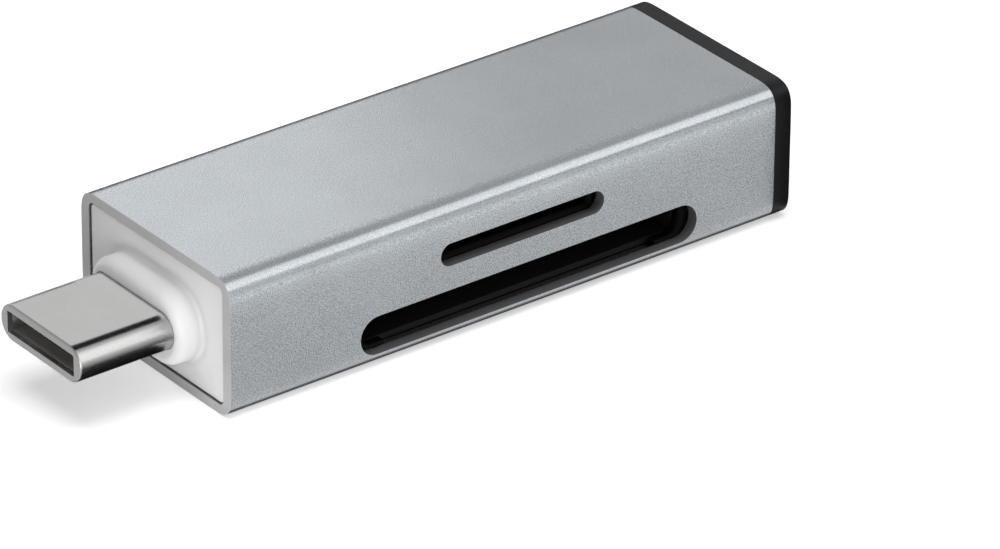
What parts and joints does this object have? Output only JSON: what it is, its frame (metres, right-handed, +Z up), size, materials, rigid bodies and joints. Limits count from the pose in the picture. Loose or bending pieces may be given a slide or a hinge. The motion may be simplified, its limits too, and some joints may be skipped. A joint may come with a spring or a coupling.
{
  "type": "usb memory card reader",
  "caption": "Pocket memory card reader: aluminium sleeve with a USB-C plug on a white bezel at one end, a black rear cap, and SD and microSD slots in one long side.",
  "frame": {"origin": "middle of the bottom of the whole reader, plug and rear cap included", "axes": "+X along the reader towards its rear cap, so the plug points along -X; +Y away from the side with the card slots; +Z up"},
  "size_m": [0.0506, 0.0152, 0.0092],
  "materials": {
    "anodised_aluminium": "fine bead-blasted silver anodising",
    "white_plastic": "smooth milky white",
    "black_plastic": "satin black",
    "frame_plastic": "moulded black",
    "socket_plastic": "moulded black",
    "plated_steel": "polished nickel plate",
    "spring_steel": "rolled bright sheet",
    "gold_contact": "gold plate",
    "board_laminate": "green solder mask",
    "chip_plastic": "moulded black",
    "capacitor_ceramic": "fired ceramic"
  },
  "bodies": {
    "root": {"housing_sleeve": "anodised_aluminium", "front_bezel": "white_plastic", "rear_cap": "black_plastic", "inner_frame": "frame_plastic", "circuit_board": "board_laminate", "usb_c_shell": "plated_steel", "usb_c_insulator": "socket_plastic", "usb_c_upper_contacts": "gold_contact", "usb_c_lower_contacts": "gold_contact", "usb_c_latch_springs": "spring_steel", "sd_socket_base": "socket_plastic", "sd_socket_cover": "spring_steel", "sd_contacts": "gold_contact", "microsd_socket_base": "socket_plastic", "microsd_socket_cover": "spring_steel", "microsd_contacts": "gold_contact", "reader_chip": "chip_plastic", "reader_chip_leads": "spring_steel", "crystal": "spring_steel", "voltage_regulator": "chip_plastic", "chip_capacitors": "capacitor_ceramic", "chip_resistors": "chip_plastic"}
  },
  "joints": []
}
